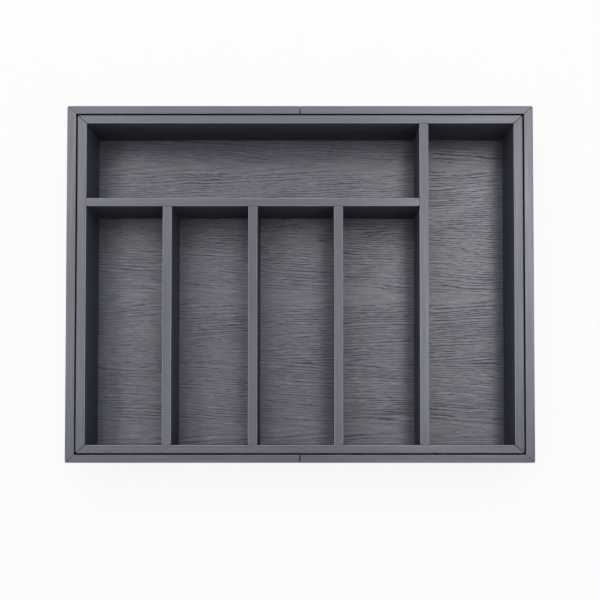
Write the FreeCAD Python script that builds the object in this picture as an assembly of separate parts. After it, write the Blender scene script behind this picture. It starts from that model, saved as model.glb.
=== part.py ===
"""Expanding cutlery tray in dark stained wood.

A divided main tray stands inside two end trays. The end trays close round it like two
halves of a picture frame, and each pulls out sideways on dowels that run in blind grooves.

Frame: millimetres, +X to the right, +Y to the back, +Z up. The origin is on the surface
that the tray stands on, under the middle of the closed tray.
"""

import FreeCAD, Part
import math
import os

from FreeCAD import Vector

# Closed tray, outside
tray_width = 470.0
tray_depth = 360.0
tray_height = 65.0

# Stock
side_board = 9.0        # boards and dividers that run front to back
cross_board = 8.0       # boards and the divider that run left to right
panel_thickness = 4.0   # plywood floor panels
corner_radius = 2.0     # eased upright corners of both frames
arris_radius = 0.5      # eased top edges

# Compartments of the main tray, clear sizes
slot_count = 4          # equal cutlery slots, side by side at the front
back_bay_depth = 76.0   # wide bay along the back
side_bay_width = 86.0   # full depth bay at the right

# Fits
frame_gap = 1.7         # between the main tray and the end trays, all round
seam_gap = 0.2          # between the two closed end trays
running_gap = 0.3       # main tray above the floors of the end trays
glue_gap = 0.05         # each side of a glued joint
kerf = 0.1              # glue line of a mitre

# Floor panels, held in grooves
base_recess = 3.0       # under the floors of the end trays
main_recess = 2.7       # under the floor of the main tray
groove_depth = 3.0

# Divider joints: a stub tongue in a housing that stops short of the rim
housing_depth = 3.0
tongue_shoulder = 1.5   # the tongue is set in from each cheek by this much
tongue_foot = 6.0       # the tongue starts this far above the floor
tongue_drop = 12.0      # and ends this far below the rim

# Mitres: a loose spline across each, and a fine eased line where the boards meet
spline_thickness = 2.5
spline_width = 8.0
spline_inset = 1.5      # towards the inner corner, where the wood is thickest
spline_foot = 6.0
spline_drop = 9.0
main_mitre_line = 0.6   # width of the eased line on the main tray
end_mitre_line = 0.35   # and on the end trays, whose mitres close more tightly
mitre_line_slope = 0.8  # its depth for its width

# Seam of the end trays: their rails are eased more steeply, so that it reads as a dark line
seam_line_width = 1.2
seam_line_depth = 4.0

# Slides: two dowels for each rail, fixed in the main tray, run in a blind groove in the rail
travel = 110.0          # how far each end tray pulls out
guide_height = 36.0     # of the groove's middle above the base
dowel_diameter = 5.0
dowel_reach = 4.0       # into the rail
dowel_web = 1.0         # wood left between a dowel's hole and a divider's housing
dowel_end_margin = 14.0     # outer dowel to the end of the main tray
groove_start = 30.0     # groove's inner end to the middle of the tray
groove_side_gap = 0.3   # each side of a dowel
groove_end_gap = 2.0    # beyond the outer dowel, when closed
groove_floor_gap = 0.5  # beyond a dowel's end

# Worked out: half sizes in plan of the four nested rectangles
outer_x = tray_width / 2
outer_y = tray_depth / 2
well_x = outer_x - side_board
well_y = outer_y - cross_board
main_x = well_x - frame_gap
main_y = well_y - frame_gap
bay_x = main_x - side_board
bay_y = main_y - cross_board

# Worked out: heights
end_floor_top = base_recess + panel_thickness
main_bottom = end_floor_top + running_gap
main_floor_bottom = main_bottom + main_recess
main_floor_top = main_floor_bottom + panel_thickness

# Worked out: places of the dividers, as the middle of each
long_divider_x = bay_x - side_bay_width - side_board / 2
cross_divider_y = bay_y - back_bay_depth - cross_board / 2
slots_left = -bay_x
slots_right = long_divider_x - side_board / 2
slot_width = (slots_right - slots_left - (slot_count - 1) * side_board) / slot_count
slot_pitch = slot_width + side_board

# Worked out: slides
dowel_radius = dowel_diameter / 2
dowel_seat = cross_board - housing_depth - dowel_web
inner_dowel_x = groove_start + travel
outer_dowel_x = main_x - dowel_end_margin
groove_radius = dowel_radius + groove_side_gap
groove_end = outer_dowel_x + groove_end_gap

SIDES = (("left", -1), ("right", 1))
ENDS = (("back", 1), ("front", -1))


def block(x0, x1, y0, y1, z0, z1):
    """A box between two corners, in any order along each axis."""
    low = Vector(min(x0, x1), min(y0, y1), min(z0, z1))
    return Part.makeBox(abs(x1 - x0), abs(y1 - y0), abs(z1 - z0), low)


def prism(corners, z0, z1):
    """An upright solid on a polygon in plan."""
    points = [Vector(x, y, z0) for x, y in corners]
    face = Part.Face(Part.makePolygon(points + points[:1]))
    return face.extrude(Vector(0, 0, z1 - z0))


def edges_at_height(shape, z):
    """The edges of a shape that lie in one level plane."""
    return [e for e in shape.Edges if all(abs(v.Z - z) < 1e-6 for v in e.Vertexes)]


def upright_edges(shape):
    """The edges of a box that stand upright."""
    return [e for e in shape.Edges if abs(e.Vertexes[0].Z - e.Vertexes[1].Z) > 1e-6]


def bar_across(centre, direction, length, width, z0, z1):
    """An upright slab centred on a point in plan, lying along a direction."""
    along = Vector(direction[0], direction[1], 0).normalize()
    beside = Vector(-along.y, along.x, 0)
    corners = []
    for a, b in ((-1, -1), (1, -1), (1, 1), (-1, 1)):
        corner = centre + along * (a * length / 2) + beside * (b * width / 2)
        corners.append((corner.x, corner.y))
    return prism(corners, z0, z1)


def valley(start, run, across, width, depth):
    """A V groove along a top face, from a point on it and as far as the run."""
    half = across * (width / 2)
    corners = [start - half, start + half, start - Vector(0, 0, depth)]
    return Part.Face(Part.makePolygon(corners + corners[:1])).extrude(run)


class Mitre:
    """One upright corner of a frame, from its outer to its inner corner in plan."""

    def __init__(self, sx, sy, outer, inner):
        self.outer = Vector(sx * outer[0], sy * outer[1], 0)
        self.inner = Vector(sx * inner[0], sy * inner[1], 0)
        self.along = (self.inner - self.outer).normalize()
        self.across = Vector(-self.along.y, self.along.x, 0)
        self.middle = (self.outer + self.inner) / 2
        self.length = (self.inner - self.outer).Length

    def saw_cut(self, z0, z1):
        """The glue line, right through the corner."""
        return bar_across(self.middle, self.along, 2 * self.length, kerf, z0, z1)

    def eased_line(self, top, width):
        """The fine valley along the top of the glue line."""
        start = self.middle - self.along * self.length + Vector(0, 0, top)
        run = self.along * (2 * self.length)
        return valley(start, run, self.across, width, width * mitre_line_slope)

    def spline(self, z0, z1, gap=0.0):
        """The loose tongue across the mitre, or with a gap the slot that it is glued in."""
        centre = self.middle + self.along * spline_inset
        long_side = spline_width + 2 * gap
        short_side = spline_thickness + 2 * gap
        return bar_across(centre, self.across, long_side, short_side, z0 - gap, z1 + gap)


def corners_of(outer, inner):
    """The mitres of a frame's four corners, by side and end."""
    found = {}
    for side, sx in SIDES:
        for end, sy in ENDS:
            found[side, end] = Mitre(sx, sy, outer, inner)
    return found


def plain_ring(outer, inner, z0, z1):
    """A frame in one piece, with eased upright corners and eased top edges."""
    slab = block(-outer[0], outer[0], -outer[1], outer[1], z0, z1)
    slab = slab.makeFillet(corner_radius, upright_edges(slab))
    ring = slab.cut(block(-inner[0], inner[0], -inner[1], inner[1], z0, z1))
    return ring.makeFillet(arris_radius, edges_at_height(ring, z1))


def mitred_ring(outer, inner, z0, z1, floor_z, mitres, splines, line):
    """A frame grooved for its floor panel, slotted for its splines and sawn at the corners."""
    ring = plain_ring(outer, inner, z0, z1)
    reach_x = inner[0] + groove_depth + glue_gap
    reach_y = inner[1] + groove_depth + glue_gap
    low, high = floor_z - glue_gap, floor_z + panel_thickness + glue_gap
    cuts = [block(-reach_x, reach_x, -reach_y, reach_y, low, high)]
    for mitre in mitres.values():
        cuts.append(mitre.saw_cut(z0, z1))
        cuts.append(mitre.eased_line(z1, line))
        cuts.append(mitre.spline(*splines, gap=glue_gap))
    return ring.cut(cuts)


def side_piece(ring, sx, outer, inner, z0, z1):
    """The board of a sawn ring that closes one side."""
    corners = [
        (sx * outer[0], outer[1]),
        (sx * inner[0], inner[1]),
        (sx * inner[0], -inner[1]),
        (sx * outer[0], -outer[1]),
    ]
    return ring.common(prism(corners, z0, z1))


def cross_piece(ring, sy, outer, inner, z0, z1, span):
    """The board of a sawn ring along its back or front, over a span of X."""
    corners = [
        (-outer[0], sy * outer[1]),
        (-inner[0], sy * inner[1]),
        (inner[0], sy * inner[1]),
        (outer[0], sy * outer[1]),
    ]
    whole = ring.common(prism(corners, z0, z1))
    return whole.common(block(span[0], span[1], -outer[1], outer[1], z0, z1))


def dowel_along_y(x, y0, y1, radius):
    """A round solid at guide height, from one Y to another."""
    start = Vector(x, y0, guide_height)
    return Part.makeCylinder(radius, abs(y1 - y0), start, Vector(0, math.copysign(1, y1 - y0), 0))


def guide_groove(sx, sy):
    """What a router takes out of one rail: a level slot with round ends, blind at both."""
    face = sy * well_y
    bottom = sy * (well_y + dowel_reach + groove_floor_gap)
    low, high = guide_height - groove_radius, guide_height + groove_radius
    slot = block(sx * groove_start, sx * groove_end, face, bottom, low, high)
    for x in (groove_start, groove_end):
        slot = slot.fuse(dowel_along_y(sx * x, face, bottom, groove_radius))
    return slot


def guide_dowel(sx, sy, x, gap=0.0):
    """One dowel, from the bottom of its hole to its free end, or with a gap its hole."""
    seat = sy * (main_y - dowel_seat - gap)
    free_end = sy * (well_y + dowel_reach)
    return dowel_along_y(sx * x, seat, free_end, dowel_radius + gap)


class Divider:
    """A board that stands on the main floor between two faces, tongued into both."""

    def __init__(self, run, place, start, end, thickness):
        self.run = run              # the axis that it lies along, X or Y
        self.place = place          # its middle on the other axis
        self.start, self.end = start, end
        self.thickness = thickness

    def oriented(self, a0, a1, half, z0, z1):
        """A box from one length to another along the run, either side of the middle."""
        if self.run == "X":
            return block(a0, a1, self.place - half, self.place + half, z0, z1)
        return block(self.place - half, self.place + half, a0, a1, z0, z1)

    def tongues(self, gap=0.0, end_gap=glue_gap):
        """The two stub tongues, or with a gap the housings cut for them."""
        half = self.thickness / 2 - tongue_shoulder + gap
        low = main_floor_top + tongue_foot - gap
        high = tray_height - tongue_drop + gap
        reach = housing_depth - end_gap
        near = self.oriented(self.start - reach, self.start, half, low, high)
        far = self.oriented(self.end, self.end + reach, half, low, high)
        return near, far

    def housings(self):
        return self.tongues(gap=glue_gap, end_gap=0.0)

    def solid(self, housings=()):
        """The finished divider, with the housings that others need in it."""
        half = self.thickness / 2
        body = self.oriented(self.start, self.end, half, main_floor_top, tray_height)
        body = body.makeFillet(arris_radius, edges_at_height(body, tray_height))
        for tongue in self.tongues():
            body = body.fuse(tongue)
        return body.cut(list(housings)) if housings else body


def make_dividers():
    """The long, cross and slot dividers, by name."""
    long_one = Divider("Y", long_divider_x, -bay_y, bay_y, side_board)
    cross_one = Divider("X", cross_divider_y, -bay_x, slots_right, cross_board)
    slot_ones = {}
    for n in range(1, slot_count):
        middle = slots_left + n * slot_pitch - side_board / 2
        far_end = cross_divider_y - cross_board / 2
        slot_ones[f"slot_divider_{n}"] = Divider("Y", middle, -bay_y, far_end, side_board)
    return long_one, cross_one, slot_ones


def make_main_tray():
    """The nodes of the main tray: frame, floor, dividers, splines and slide dowels."""
    outer, inner = (main_x, main_y), (bay_x, bay_y)
    splines = (main_floor_top + spline_foot, tray_height - spline_drop)
    mitres = corners_of(outer, inner)
    ring = mitred_ring(
        outer, inner, main_bottom, tray_height, main_floor_bottom, mitres, splines, main_mitre_line
    )

    long_one, cross_one, slot_ones = make_dividers()
    housings = [*long_one.housings(), *cross_one.housings()]
    for divider in slot_ones.values():
        housings.extend(divider.housings())
    dowels = {side: [] for side, sx in SIDES}
    holes = []
    for side, sx in SIDES:
        for end, sy in ENDS:
            for x in (inner_dowel_x, outer_dowel_x):
                dowels[side].append(guide_dowel(sx, sy, x))
                holes.append(guide_dowel(sx, sy, x, gap=glue_gap))
    ring = ring.cut(housings + holes)

    nodes = {}
    for side, sx in SIDES:
        board = side_piece(ring, sx, outer, inner, main_bottom, tray_height)
        nodes[f"main_{side}_board"] = board
    for end, sy in ENDS:
        span = (-main_x, main_x)
        board = cross_piece(ring, sy, outer, inner, main_bottom, tray_height, span)
        nodes[f"main_{end}_board"] = board
    edge_x, edge_y = bay_x + groove_depth, bay_y + groove_depth
    nodes["main_floor"] = block(
        -edge_x, edge_x, -edge_y, edge_y, main_floor_bottom, main_floor_top
    )
    nodes["long_divider"] = long_one.solid(cross_one.housings())
    slot_housings = []
    for divider in slot_ones.values():
        slot_housings.extend(divider.housings())
    nodes["cross_divider"] = cross_one.solid(slot_housings)
    for name, divider in slot_ones.items():
        nodes[name] = divider.solid()
    nodes["main_mitre_splines"] = Part.makeCompound([m.spline(*splines) for m in mitres.values()])
    for side, sx in SIDES:
        nodes[f"{side}_guide_dowels"] = Part.makeCompound(dowels[side])
    return nodes


def make_end_trays():
    """The nodes of the two end trays: rails, end boards, floors and splines."""
    outer, inner = (outer_x, outer_y), (well_x, well_y)
    splines = (end_floor_top + spline_foot, tray_height - spline_drop)
    mitres = corners_of(outer, inner)
    ring = mitred_ring(
        outer, inner, 0, tray_height, base_recess, mitres, splines, end_mitre_line
    )
    cuts = [guide_groove(sx, sy) for side, sx in SIDES for end, sy in ENDS]
    front, run = Vector(0, -outer_y, tray_height), Vector(0, tray_depth, 0)
    cuts.append(valley(front, run, Vector(1, 0, 0), seam_line_width, seam_line_depth))
    ring = ring.cut(cuts)

    nodes = {}
    for side, sx in SIDES:
        nodes[f"{side}_end_board"] = side_piece(ring, sx, outer, inner, 0, tray_height)
        for end, sy in ENDS:
            span = (sx * seam_gap / 2, sx * outer_x)
            rail = cross_piece(ring, sy, outer, inner, 0, tray_height, span)
            nodes[f"{side}_{end}_rail"] = rail
        edge_y = well_y + groove_depth
        nodes[f"{side}_floor"] = block(
            sx * seam_gap / 2, sx * (well_x + groove_depth),
            -edge_y, edge_y, base_recess, end_floor_top,
        )
        own = [m.spline(*splines) for (where, end), m in mitres.items() if where == side]
        nodes[f"{side}_mitre_splines"] = Part.makeCompound(own)
    return nodes


os.makedirs("parts", exist_ok=True)
for name, shape in {**make_main_tray(), **make_end_trays()}.items():
    if not shape.isValid():
        raise ValueError(f"{name} is not a valid solid")
    shape.exportStep(f"parts/{name}.step")
    volume = shape.Volume / 1000
    print(f"{name}: {len(shape.Solids)} solids, {volume:.1f} cm3")
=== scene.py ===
"""An expanding cutlery tray in charcoal stained wood, seen from almost straight above.

Metres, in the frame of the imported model: +X right, +Y back, +Z up, standing on z = 0.
"""

import math

import bpy
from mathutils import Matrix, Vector


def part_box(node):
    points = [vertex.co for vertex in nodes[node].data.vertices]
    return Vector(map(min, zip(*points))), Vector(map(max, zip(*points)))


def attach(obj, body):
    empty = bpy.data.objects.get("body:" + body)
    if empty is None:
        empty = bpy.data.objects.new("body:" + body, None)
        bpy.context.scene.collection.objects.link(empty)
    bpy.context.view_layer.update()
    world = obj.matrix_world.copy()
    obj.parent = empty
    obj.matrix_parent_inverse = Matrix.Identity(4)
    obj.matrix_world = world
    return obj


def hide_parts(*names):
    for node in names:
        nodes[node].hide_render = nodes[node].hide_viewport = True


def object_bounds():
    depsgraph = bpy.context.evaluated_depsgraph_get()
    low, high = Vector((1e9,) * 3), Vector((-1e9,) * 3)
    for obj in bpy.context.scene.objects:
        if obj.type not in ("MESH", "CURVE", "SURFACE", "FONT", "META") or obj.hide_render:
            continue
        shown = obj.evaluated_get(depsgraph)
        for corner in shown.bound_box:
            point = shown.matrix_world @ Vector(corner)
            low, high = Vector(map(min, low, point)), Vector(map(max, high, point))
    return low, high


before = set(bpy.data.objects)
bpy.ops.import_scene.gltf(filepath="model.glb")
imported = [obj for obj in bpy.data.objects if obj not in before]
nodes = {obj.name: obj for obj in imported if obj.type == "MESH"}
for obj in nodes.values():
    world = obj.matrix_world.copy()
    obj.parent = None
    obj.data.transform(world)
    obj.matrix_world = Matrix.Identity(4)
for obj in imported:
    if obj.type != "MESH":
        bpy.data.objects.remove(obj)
cad_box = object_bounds()


# Floor panels
# Three sheets of thin plywood faced with oak, one in the main tray and one in each end tray.
# The veneer is wire-brushed, which wears its softer streaks hollow, then stained and lacquered.

MM = 0.001
BRUSHED_RELIEF = 0.15 * MM      # how deep the softest streaks are worn
CELL_ALONG = 4.0 * MM           # mesh along the grain, and across it
CELL_ACROSS = 1.0 * MM
WELD = 0.001 * MM

DRIFT_SPAN = (110.0, 30.0)      # mm along and across, how slowly the grain wanders
DRIFT = 5.0                     # mm to each side
WAVER_SPAN = (16.0, 6.0)        # mm, and the small waver on top of that
WAVER = 0.7                     # mm to each side
LEAF = 70.0                     # mm from the heart of one veneer leaf to its edge
HEART = 9.0                     # mm, how blunt the arches are at the heart
CLOSED_HEART = 0.2              # share of that width where the rings have no pores
TAPER = 0.035                   # rise of the log, which closes the rings into arches
RING_PITCH = 2.4                # mm
RING_SPAN = (170.0, 8.0)        # mm along and across, how unevenly the rings lie
RING_SHIFT = 3                  # rings, how far
EARLY_WOOD = 3.0                # power that narrows the early wood within its ring
PORE_SPAN = (9.0, 1.0)          # mm; real pores are finer and would not show
PATCH_SPAN = (60.0, 22.0)       # mm, wood with many pores and wood with few
RING_PORES = 0.32               # how closely pores keep to the early wood, and to the patches
PATCH_PORES = 0.45
PORE_EDGE = (0.93, 1.14)        # sum of the three, from closed wood to a pore
PORE_DEPTH = 0.18 * MM
FIBRE_SPAN = (11.0, 0.8)        # mm
RIDGE_EDGE = (0.50, 0.77)       # fibre noise, from a hollow to a ridge
RIDGE_TONE = 0.75               # share of the pale tone on the ridges, and on late wood
LATE_TONE = 0.25

OAK_RIDGE = "#757686"
OAK_WOOD = "#454653"
OAK_PORE = "#1e1f31"
RIDGE_ROUGH = 0.33
HOLLOW_ROUGH = 0.41
PORE_ROUGH = 0.55
OAK_SPECULAR = 0.95


def linear(hex_colour):
    """An sRGB hex colour as the linear RGBA that shaders take."""
    parts = [int(hex_colour[i:i + 2], 16) / 255 for i in (1, 3, 5)]
    curve = [p / 12.92 if p <= 0.04045 else ((p + 0.055) / 1.055) ** 2.4 for p in parts]
    return (*curve, 1.0)


def add(tree, kind, *sockets, **named):
    """Adds a node. Its sockets come in order or by name, as values, nodes or outputs.

    A name with a small first letter is a setting of the node, and _ stands for a space.
    """
    node = tree.nodes.new(kind)
    for name, value in named.items():
        if name[0].islower():
            setattr(node, name, value)
    usable = [socket for socket in node.inputs if socket.enabled]
    wanted = list(zip(usable, sockets))
    for socket in usable:
        name = socket.name.replace(" ", "_")
        if name in named:
            wanted.append((socket, named[name]))
    for socket, value in wanted:
        if isinstance(value, bpy.types.Node):
            value = next(output for output in value.outputs if output.enabled)
        if isinstance(value, bpy.types.NodeSocket):
            tree.links.new(value, socket)
        else:
            socket.default_value = value
    return node


def per_span(run, span):
    """Scales that turn a place in metres into spans of a pattern lying along X or Y."""
    along, across = (1 / (size * MM) for size in span)
    return (along, across, across) if run == "X" else (across, along, across)


def streaks(tree, place, run, span, detail=2.0):
    """Noise drawn out along the grain, one lump for each span."""
    spans = add(tree, "ShaderNodeVectorMath", place, per_span(run, span), operation="MULTIPLY")
    return add(tree, "ShaderNodeTexNoise", Vector=spans, Scale=1.0, Detail=detail, Roughness=0.55)


def bare_material(name):
    """A new material with nothing in its tree, and that tree."""
    material = bpy.data.materials.new(name)
    material.use_nodes = True
    material.node_tree.nodes.clear()
    return material, material.node_tree


def wandering_grain(tree, place):
    """The place on the panel, moved across the grain so that what is drawn on it wanders."""
    slow = streaks(tree, place, "X", DRIFT_SPAN)
    quick = streaks(tree, place, "X", WAVER_SPAN)
    waver = add(tree, "ShaderNodeMath", quick, 2 * WAVER * MM, operation="MULTIPLY")
    drift = add(tree, "ShaderNodeMath", slow, 2 * DRIFT * MM, waver, operation="MULTIPLY_ADD")
    drift = add(tree, "ShaderNodeCombineXYZ", Y=drift)
    return add(tree, "ShaderNodeVectorMath", place, drift, operation="ADD")


def oak_figure(tree, place):
    """Rings of flat-sawn oak and the pores that follow them, as two values from 0 to 1.

    The rings close into arches along the heart of each leaf.
    """
    uneven = streaks(tree, place, "X", RING_SPAN)
    at = add(tree, "ShaderNodeSeparateXYZ", place).outputs
    away = add(tree, "ShaderNodeMath", at["Y"], LEAF * MM, operation="PINGPONG")
    arch = add(tree, "ShaderNodeCombineXYZ", X=away, Y=HEART * MM)
    arch = add(tree, "ShaderNodeVectorMath", arch, operation="LENGTH")
    growth = add(tree, "ShaderNodeMath", at["X"], TAPER, arch.outputs["Value"], operation="MULTIPLY_ADD")
    shift = RING_SHIFT * RING_PITCH * MM
    growth = add(tree, "ShaderNodeMath", uneven, shift, growth, operation="MULTIPLY_ADD")
    phase = add(tree, "ShaderNodeMath", growth, 2 * math.pi / (RING_PITCH * MM), operation="MULTIPLY")
    wave = add(tree, "ShaderNodeMath", phase, operation="SINE")
    rings = add(tree, "ShaderNodeMapRange", wave, -1.0, 1.0)
    early = add(tree, "ShaderNodeMath", rings, EARLY_WOOD, operation="POWER")
    porous = add(tree, "ShaderNodeMapRange", away, CLOSED_HEART * HEART * MM, HEART * MM)
    early = add(tree, "ShaderNodeMath", early, porous, operation="MULTIPLY")
    spots = streaks(tree, place, "X", PORE_SPAN, detail=4.0)
    patch = streaks(tree, place, "X", PATCH_SPAN, detail=1.0)
    open_wood = add(tree, "ShaderNodeMath", early, RING_PORES, spots, operation="MULTIPLY_ADD")
    open_wood = add(tree, "ShaderNodeMath", patch, PATCH_PORES, open_wood, operation="MULTIPLY_ADD")
    pores = add(tree, "ShaderNodeMapRange", open_wood, *PORE_EDGE)
    return rings, pores


def brushed_oak(name, offset):
    """Stained oak veneer: dark pore lines, soft rings, and a satin lacquer that is duller in the pores."""
    material, tree = bare_material(name)
    place = add(tree, "ShaderNodeTexCoord").outputs["Object"]
    place = add(tree, "ShaderNodeMapping", Vector=place, Location=offset)
    place = wandering_grain(tree, place)
    rings, pores = oak_figure(tree, place)
    fibre = streaks(tree, place, "X", FIBRE_SPAN, detail=3.0)
    ridge = add(tree, "ShaderNodeMapRange", fibre, *RIDGE_EDGE)
    late = add(tree, "ShaderNodeMapRange", rings, To_Min=LATE_TONE, To_Max=0.0)
    tone = add(tree, "ShaderNodeMath", ridge, RIDGE_TONE, late, operation="MULTIPLY_ADD")
    wood = add(tree, "ShaderNodeMix", tone, linear(OAK_WOOD), linear(OAK_RIDGE), data_type="RGBA")
    colour = add(tree, "ShaderNodeMix", pores, wood, linear(OAK_PORE), data_type="RGBA")
    rough = add(tree, "ShaderNodeMapRange", ridge, To_Min=HOLLOW_ROUGH, To_Max=RIDGE_ROUGH)
    rough = add(tree, "ShaderNodeMapRange", pores, To_Min=rough, To_Max=PORE_ROUGH)
    depth = add(tree, "ShaderNodeMath", pores, -1.0, operation="MULTIPLY")
    bump = add(tree, "ShaderNodeBump", Strength=1.0, Distance=PORE_DEPTH, Height=depth)
    lacquer = add(
        tree, "ShaderNodeBsdfPrincipled",
        Base_Color=colour, Roughness=rough, Specular_IOR_Level=OAK_SPECULAR, Normal=bump,
    )
    add(tree, "ShaderNodeOutputMaterial", lacquer)
    return material


def brushed_panel_tree():
    """A closed panel whose two faces are worn hollow along the softer streaks of the veneer."""
    tree = bpy.data.node_groups.new("brushed_panel", "GeometryNodeTree")
    for name, kind in (
        ("Width", "Float"), ("Depth", "Float"), ("Thickness", "Float"), ("Relief", "Float"),
        ("Columns", "Int"), ("Rows", "Int"),
        ("Centre", "Vector"), ("Grain Offset", "Vector"), ("Veneer", "Material"),
    ):
        tree.interface.new_socket(name, in_out="INPUT", socket_type="NodeSocket" + kind)
    tree.interface.new_socket("Panel", in_out="OUTPUT", socket_type="NodeSocketGeometry")
    size = tree.nodes.new("NodeGroupInput").outputs
    sheet = add(
        tree, "GeometryNodeMeshGrid", size["Width"], size["Depth"], size["Columns"], size["Rows"]
    )
    placed = add(tree, "GeometryNodeTransform", sheet.outputs["Mesh"], size["Centre"])
    place = add(tree, "GeometryNodeInputPosition")
    place = add(tree, "ShaderNodeVectorMath", place, size["Grain Offset"], operation="ADD")
    soft_wood = streaks(tree, place, "X", RING_SPAN)
    low = add(tree, "ShaderNodeMath", size["Relief"], -1.0, operation="MULTIPLY")
    dip = add(tree, "ShaderNodeMath", soft_wood, low, operation="MULTIPLY")
    dip = add(tree, "ShaderNodeCombineXYZ", Z=dip)
    face = add(tree, "GeometryNodeSetPosition", placed, Offset=dip)
    face = add(tree, "GeometryNodeSetShadeSmooth", face)
    core = add(tree, "ShaderNodeMath", size["Relief"], size["Thickness"], operation="SUBTRACT")
    down = add(tree, "ShaderNodeCombineXYZ", Z=core)
    turned = add(tree, "GeometryNodeFlipFaces", face)
    turned = add(tree, "GeometryNodeSetShadeSmooth", turned, Shade_Smooth=False)
    sides = add(tree, "GeometryNodeExtrudeMesh", turned, Offset=down, Individual=False)
    joined = add(tree, "GeometryNodeJoinGeometry")
    for part in (face, sides):
        tree.links.new(part.outputs[0], joined.inputs[0])
    closed = add(tree, "GeometryNodeMergeByDistance", joined, Distance=WELD)
    plain = add(tree, "GeometryNodeRealizeInstances", closed)
    dressed = add(tree, "GeometryNodeSetMaterial", plain, Material=size["Veneer"])
    add(tree, "NodeGroupOutput", dressed)
    return tree


def grown(name, tree, sizes):
    """Runs a geometry tree once, with its named inputs, and keeps the result as a plain mesh."""
    piece = bpy.data.objects.new(name, bpy.data.meshes.new(name))
    bpy.context.scene.collection.objects.link(piece)
    modifier = piece.modifiers.new(name, "NODES")
    modifier.node_group = tree
    for item in tree.interface.items_tree:
        if item.in_out == "INPUT":
            modifier[item.identifier] = sizes[item.name]
    evaluated = piece.evaluated_get(bpy.context.evaluated_depsgraph_get())
    mesh = bpy.data.meshes.new_from_object(evaluated)
    piece.modifiers.clear()
    piece.data = mesh
    return piece


panel_tree = brushed_panel_tree()
for node, body, offset in (     # each panel is cut from another part of the veneer
    ("main_floor", "main_tray", (0.0, 0.0, 0.0)),
    ("left_floor", "left_tray", (1.3, 0.7, 0.0)),
    ("right_floor", "right_tray", (2.1, 1.9, 0.0)),
):
    low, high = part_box(node)
    size = high - low
    panel = grown(
        "brushed_" + node,
        panel_tree,
        {
            "Width": size.x, "Depth": size.y, "Thickness": size.z, "Relief": BRUSHED_RELIEF,
            "Columns": round(size.x / CELL_ALONG), "Rows": round(size.y / CELL_ACROSS),
            "Centre": ((low.x + high.x) / 2, (low.y + high.y) / 2, high.z),
            "Grain Offset": offset, "Veneer": brushed_oak("brushed_oak_" + body, offset),
        },
    )
    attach(panel, body)
    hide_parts(node)


# Frame boards and dividers
# Close-grained solid wood planed to 8 and 9 mm, mitred at the corners or housed into a neighbour.
# Stained charcoal, darker in the joints, and lacquered from above, so the tops take a sheen and the
# sides stay matt. Painted shade darkens the joints near the rim and the upright faces, and the top
# edges are painted paler as a highlight wherever they have free room beside them.

GRAIN_SPAN = (130.0, 1.3)       # mm along and across; real fibre is finer and would not show
CLOUD_SPAN = (210.0, 30.0)      # mm, slow changes in how the stain took
CLOUD_SHARE = 0.25
TONE_EDGE = (0.42, 0.83)        # grain and cloud together, from dark to pale stain
GRAIN_EDGE = (0.3, 0.7)         # grain alone, from open to hard
GRAIN_DEPTH = 0.05 * MM
GRAIN_BUMP = 0.25
END_GRAIN_SPAN = (1.4, 1.4)     # mm
END_GRAIN_EDGE = (0.35, 0.65)
BOARD_SHIFT = (0.37, 0.53, 0.19)  # metres from one board's grain to the next one's

ARRIS = 0.5 * MM                # eased edge of a board
UPRIGHT = (0.3, 0.9)            # how far a face looks up, from a side to a top
ON_ARRIS = (0.9, 0.99)          # the same, from an arris to a flat top
END_ON = (0.3, 0.6)             # how far it looks along the grain, from a side to a sawn end
FEELERS = 6                     # rays that feel for other wood
JOINT_REACH = 1.0 * MM          # joints darken, partly as stain and partly as painted shade, where wood is this near to other wood
JOINT_EDGE = (0.65, 0.98)       # share of free room, from a closed joint to an open face
HIGHLIGHT_ROOM = 4.0 * MM             # only an edge with this much free room beside it gets the painted highlight
HIGHLIGHT_EDGE = (0.84, 0.97)         # share of free room, from no painted highlight to a full one

STAIN_PALE = "#555566"
STAIN_DARK = "#3f424d"
SIDE_SHADE_TINT = "#ecf5ed"         # painted shade: darkens the stain on the upright faces and makes it less blue
STAIN_END = "#2e2e34"
# dark joint lines, partly stain and partly painted shade
JOINT_STAIN_AND_SHADE = "#141418"
# painted highlight along the top edges
EDGE_HIGHLIGHT_PAINT = "#acacb9"
TOP_ROUGH = (0.39, 0.29)        # satin lacquer over open and over hard grain
SIDE_ROUGH = 0.62
SIDE_SPECULAR = 0.25
JOINT_SPECULAR = 0.1


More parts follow.
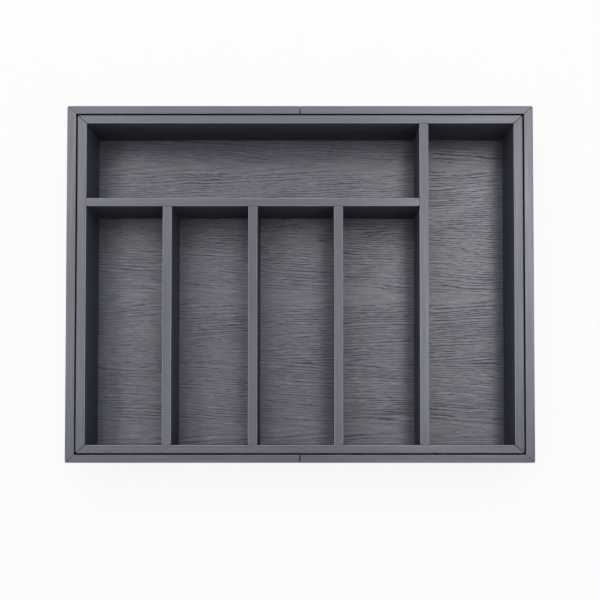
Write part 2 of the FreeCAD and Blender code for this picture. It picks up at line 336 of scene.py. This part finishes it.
def stained_board(name, run, offset, rim, coat):
    """Stained close-grained wood: fine streaks along its run, darker ends, satin tops and matt sides."""
    material, tree = bare_material(name)
    from_object = add(tree, "ShaderNodeTexCoord").outputs
    place = add(tree, "ShaderNodeMapping", Vector=from_object["Object"], Location=offset)
    grain = streaks(tree, place, run, GRAIN_SPAN, detail=3.0)
    cloud = streaks(tree, place, run, CLOUD_SPAN)
    tone = add(tree, "ShaderNodeMath", cloud, CLOUD_SHARE, grain, operation="MULTIPLY_ADD")
    tone = add(tree, "ShaderNodeMapRange", tone, *TONE_EDGE)
    wood = add(tree, "ShaderNodeMix", tone, linear(STAIN_DARK), linear(STAIN_PALE), data_type="RGBA")

    facing = add(tree, "ShaderNodeSeparateXYZ", from_object["Normal"]).outputs
    upright = add(tree, "ShaderNodeMapRange", facing["Z"], *UPRIGHT, 1.0, 0.0)
    # Painted shade: the upright faces are coloured darker and less blue than the tops.
    wood = add(
        tree, "ShaderNodeMix", upright, wood, linear(SIDE_SHADE_TINT),
        data_type="RGBA", blend_type="MULTIPLY",
    )

    height = add(tree, "ShaderNodeSeparateXYZ", from_object["Object"]).outputs["Z"]
    # Painted highlight: the top edges that have free room beside them are coloured paler.
    at_rim = add(tree, "ShaderNodeMapRange", height, rim - ARRIS, rim - 0.2 * ARRIS)
    slope = add(tree, "ShaderNodeMapRange", facing["Z"], *ON_ARRIS, 1.0, 0.0)
    edge_highlight = add(tree, "ShaderNodeMath", at_rim, slope, operation="MULTIPLY")
    free = add(tree, "ShaderNodeAmbientOcclusion", samples=FEELERS, Distance=HIGHLIGHT_ROOM).outputs["AO"]
    open_beside = add(tree, "ShaderNodeMapRange", free, *HIGHLIGHT_EDGE)
    edge_highlight = add(tree, "ShaderNodeMath", edge_highlight, open_beside, operation="MULTIPLY")
    wood = add(tree, "ShaderNodeMix", edge_highlight, wood, linear(EDGE_HIGHLIGHT_PAINT), data_type="RGBA")

    end_on = add(tree, "ShaderNodeMath", facing[run], operation="ABSOLUTE")
    end_on = add(tree, "ShaderNodeMapRange", end_on, *END_ON)
    dots = streaks(tree, place, run, END_GRAIN_SPAN)
    dots = add(tree, "ShaderNodeMapRange", dots, *END_GRAIN_EDGE)
    sawn = add(tree, "ShaderNodeMix", dots, linear(STAIN_END), linear(STAIN_DARK), data_type="RGBA")
    wood = add(tree, "ShaderNodeMix", end_on, wood, sawn, data_type="RGBA")

    # Dark joint lines near the rim, partly stain gathered in the joints and partly painted shade in the
    # crease.
    free = add(tree, "ShaderNodeAmbientOcclusion", samples=FEELERS, Distance=JOINT_REACH).outputs["AO"]
    joint = add(tree, "ShaderNodeMapRange", free, *JOINT_EDGE, 1.0, 0.0)
    near_rim = add(tree, "ShaderNodeMapRange", height, rim - 3 * ARRIS, rim - ARRIS)
    joint = add(tree, "ShaderNodeMath", joint, near_rim, operation="MULTIPLY")
    wood = add(tree, "ShaderNodeMix", joint, wood, linear(JOINT_STAIN_AND_SHADE), data_type="RGBA")

    rough = add(tree, "ShaderNodeMapRange", grain, *GRAIN_EDGE, *TOP_ROUGH)
    rough = add(tree, "ShaderNodeMapRange", upright, To_Min=rough, To_Max=SIDE_ROUGH)
    sheen = add(tree, "ShaderNodeMapRange", upright, To_Min=coat, To_Max=SIDE_SPECULAR)
    sheen = add(tree, "ShaderNodeMapRange", joint, To_Min=sheen, To_Max=JOINT_SPECULAR)
    bump = add(tree, "ShaderNodeBump", Strength=GRAIN_BUMP, Distance=GRAIN_DEPTH, Height=grain)
    lacquer = add(
        tree, "ShaderNodeBsdfPrincipled",
        Base_Color=wood, Roughness=rough, Specular_IOR_Level=sheen, Normal=bump,
    )
    add(tree, "ShaderNodeOutputMaterial", lacquer)
    return material


def dress(node, material):
    """Gives a node of the frame its finish in every slot."""
    slots = nodes[node].material_slots
    if not slots:
        nodes[node].data.materials.append(material)
    for slot in slots:
        slot.material = material


rim_height = cad_box[1].z
boards = {                      # run of the grain, and how much coat the top took
    "main_back_board": ("X", 0.95), "main_front_board": ("X", 1.0),
    "main_left_board": ("Y", 1.0), "main_right_board": ("Y", 0.8),
    "cross_divider": ("X", 1.0), "long_divider": ("Y", 0.8),
    "slot_divider_1": ("Y", 1.0), "slot_divider_2": ("Y", 1.0), "slot_divider_3": ("Y", 0.95),
    "left_end_board": ("Y", 1.0), "left_back_rail": ("X", 0.9), "left_front_rail": ("X", 1.0),
    "right_end_board": ("Y", 1.0), "right_back_rail": ("X", 0.95), "right_front_rail": ("X", 1.0),
}
for count, (node, (run, coat)) in enumerate(boards.items()):
    offset = [step * count for step in BOARD_SHIFT]
    dress(node, stained_board("stained_" + node, run, offset, rim_height, coat))


# Splines and guide dowels
# Loose beech tongues glued across the mitres, and the beech dowels that the end trays run on.
# The tongues stay bare inside the joints. The dowels are stained, as they cross the open gap.

FLECK_SPAN = (3.0, 0.4)         # mm
BEECH_PALE = "#c9a983"
BEECH_DARK = "#b08a62"
DOWEL_PALE = "#34343b"
DOWEL_DARK = "#28282e"
BEECH_ROUGH = 0.75


def close_beech(name, run, pale, dark):
    """Unlacquered beech: matt and even, with short flecks along the grain."""
    material, tree = bare_material(name)
    place = add(tree, "ShaderNodeTexCoord").outputs["Object"]
    fleck = streaks(tree, place, run, FLECK_SPAN)
    wood = add(tree, "ShaderNodeMix", fleck, linear(pale), linear(dark), data_type="RGBA")
    matt = add(tree, "ShaderNodeBsdfPrincipled", Base_Color=wood, Roughness=BEECH_ROUGH)
    add(tree, "ShaderNodeOutputMaterial", matt)
    return material


for node in ("main_mitre_splines", "left_mitre_splines", "right_mitre_splines"):
    dress(node, close_beech("bare_" + node, "X", BEECH_PALE, BEECH_DARK))
for node in ("left_guide_dowels", "right_guide_dowels"):
    dress(node, close_beech("stained_" + node, "Y", DOWEL_PALE, DOWEL_DARK))


# Studio floor, light and camera
# A white table in a pale room, under soft boxes whose gaps and edges give the sheen its shape:
# three to the right, a small one overhead, two to the left, two behind and two fills in front.

TABLE_SIZE = 60.0
TABLE_PAINT = "#f4f4f4"
WHITE = "#ffffff"
TABLE_GLOW = 0.9                # share of plain white round the tray; the rest takes its shadow
TABLE_FADE = (0.6, 1.6)         # metres from the tray over which the table turns all white


def studio_table(covered):
    """The plain surface that the tray stands on. It reads as white, except where it is covered."""
    half = TABLE_SIZE / 2
    (x0, y0), (x1, y1) = covered
    corners = [(-half, -half, 0), (half, -half, 0), (half, half, 0), (-half, half, 0)]
    corners += [(x0, y0, 0), (x1, y0, 0), (x1, y1, 0), (x0, y1, 0)]
    faces = [(4, 5, 6, 7), (0, 1, 5, 4), (1, 2, 6, 5), (2, 3, 7, 6), (3, 0, 4, 7)]
    mesh = bpy.data.meshes.new("table")
    mesh.from_pydata(corners, [], faces)
    table = bpy.data.objects.new("table", mesh)
    bpy.context.scene.collection.objects.link(table)
    for name, near_glow in (("white_table", TABLE_GLOW), ("white_table_covered", 0.0)):
        material, tree = bare_material(name)
        material.cycles.emission_sampling = "NONE"  # its white is for the eye and lights nothing
        matt = add(tree, "ShaderNodeBsdfDiffuse", Color=linear(TABLE_PAINT))
        white = add(tree, "ShaderNodeEmission", Color=linear(WHITE), Strength=1.0)
        ray = add(tree, "ShaderNodeLightPath").outputs
        seen = add(tree, "ShaderNodeMath", ray["Is Camera Ray"], ray["Is Glossy Ray"], operation="MAXIMUM")
        seen = add(tree, "ShaderNodeMath", seen, ray["Is Transmission Ray"], operation="MAXIMUM")
        away = add(tree, "ShaderNodeTexCoord").outputs["Object"]
        away = add(tree, "ShaderNodeVectorMath", away, operation="LENGTH")
        glow = add(tree, "ShaderNodeMapRange", away, *TABLE_FADE, near_glow, 1.0)
        share = add(tree, "ShaderNodeMath", seen, glow, operation="MULTIPLY")
        surface = add(tree, "ShaderNodeMixShader", share, matt, white)
        add(tree, "ShaderNodeOutputMaterial", surface)
        mesh.materials.append(material)
    mesh.polygons[0].material_index = 1


def soft_box(name, place, width, length, power):
    """A rectangular lamp turned towards the tray."""
    light = bpy.data.lights.new(name, "AREA")
    light.shape = "RECTANGLE"
    light.size = width
    light.size_y = length
    light.energy = power
    lamp = bpy.data.objects.new(name, light)
    lamp.location = place
    lamp.rotation_euler = (-Vector(place)).to_track_quat("-Z", "Y").to_euler()
    bpy.context.scene.collection.objects.link(lamp)


studio_table((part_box("main_front_board")[0].xy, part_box("main_back_board")[1].xy))

LAMP_HEIGHT = 2.2

for name, x, y, width, length, power in (
    ("right_box", 0.75, 0.60, 0.35, 0.70, 7.8),
    ("right_strip", 0.72, 1.55, 0.45, 1.20, 8.1),
    ("right_panel", 0.50, 0.05, 0.40, 0.50, 4.6),
    ("middle_panel", -0.45, -0.15, 0.60, 0.40, 2.1),
    ("left_box", -0.90, 0.90, 0.35, 0.90, 5.4),
    ("left_panel", -1.35, 0.15, 0.60, 0.60, 8.6),
    ("back_strip", -0.35, 1.75, 0.60, 1.20, 11.2),
    ("back_panel", 0.25, 1.80, 0.40, 1.00, 5.9),
    ("left_fill", -1.70, -1.60, 1.00, 1.00, 3.9),
    ("right_fill", 1.60, -1.60, 1.20, 1.00, 8.8),
):
    soft_box(name, (x, y, LAMP_HEIGHT), width, length, power)

WALL_TOP = (0.20, 0.45)         # how steeply a ray points up, from wall to ceiling
WALL_GLOW = 1.0
CEILING_GLOW = 0.04

room = bpy.data.worlds.new("pale_room")
room.use_nodes = True
tree = room.node_tree
tree.nodes.clear()
aim = add(tree, "ShaderNodeTexCoord").outputs["Generated"]
steep = add(tree, "ShaderNodeSeparateXYZ", aim).outputs["Z"]
glow = add(tree, "ShaderNodeMapRange", steep, *WALL_TOP, WALL_GLOW, CEILING_GLOW)
air = add(tree, "ShaderNodeBackground", linear(WHITE), glow)
add(tree, "ShaderNodeOutputWorld", air)
bpy.context.scene.world = room

CAMERA_PLACE = (0.01671, -0.14972, 0.91518)
CAMERA_TILT = math.radians(1.521)
CAMERA_LENS = 51.04             # mm
SENSOR_WIDTH = 36.0             # mm
PHOTO_SIDE = 600                # pixels
PHOTO_CENTRE = (316.66, 410.0)  # pixel that the lens axis meets

camera = bpy.data.objects.new("camera", bpy.data.cameras.new("camera"))
camera.location = CAMERA_PLACE
camera.rotation_euler = (CAMERA_TILT, 0.0, 0.0)
camera.data.lens = CAMERA_LENS
camera.data.sensor_width = SENSOR_WIDTH
camera.data.shift_x = 0.5 - PHOTO_CENTRE[0] / PHOTO_SIDE
camera.data.shift_y = PHOTO_CENTRE[1] / PHOTO_SIDE - 0.5
bpy.context.scene.collection.objects.link(camera)
bpy.context.scene.camera = camera
bpy.context.scene.view_settings.view_transform = "Standard"
